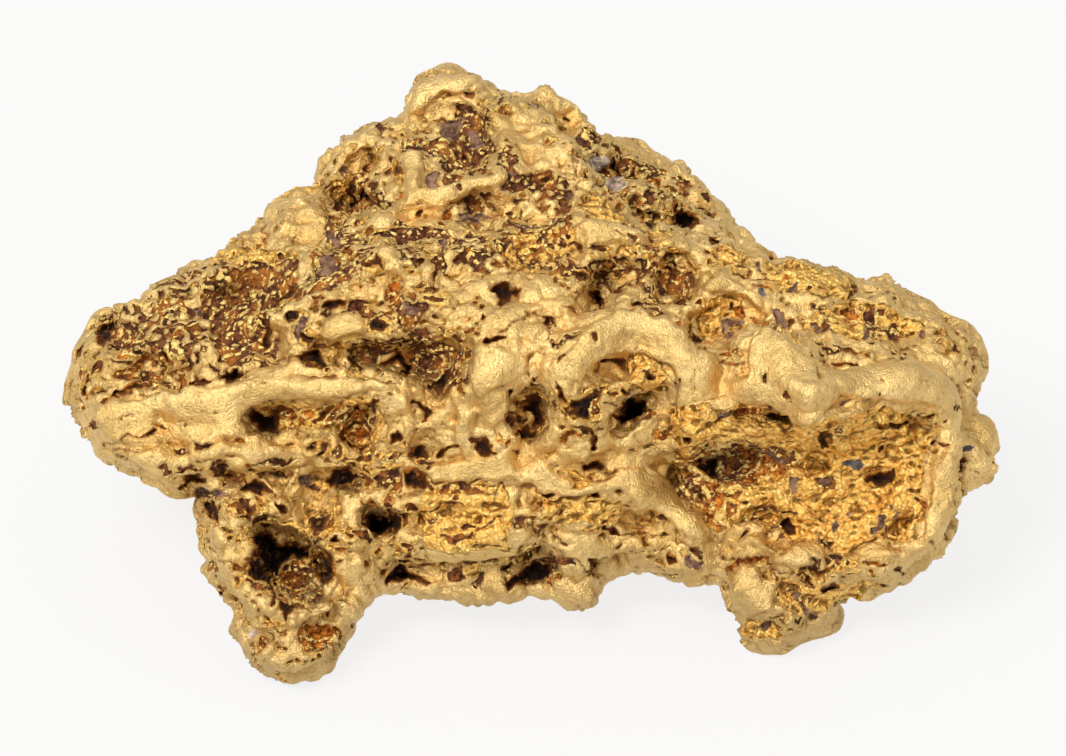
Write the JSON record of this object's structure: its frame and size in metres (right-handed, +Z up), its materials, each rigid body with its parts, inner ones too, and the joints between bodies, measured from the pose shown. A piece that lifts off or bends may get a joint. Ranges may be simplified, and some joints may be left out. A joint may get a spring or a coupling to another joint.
{
  "type": "gold nugget",
  "caption": "Natural gold nugget: a worn, spongy lump with pitted hollows, a bent ridge over a bowl, and two front feet with a broad heel that it stands on.",
  "frame": {"origin": "under the middle of the nugget, on the plane that its feet and heels stand on", "axes": "+X along the nugget's length, +Y from its ridged front to its back, +Z up"},
  "size_m": [0.0186, 0.0124, 0.0077],
  "materials": {
    "native_gold": "worn satin native gold with iron-stained hollows"
  },
  "bodies": {
    "root": {"gold_nugget": "native_gold"}
  },
  "joints": []
}
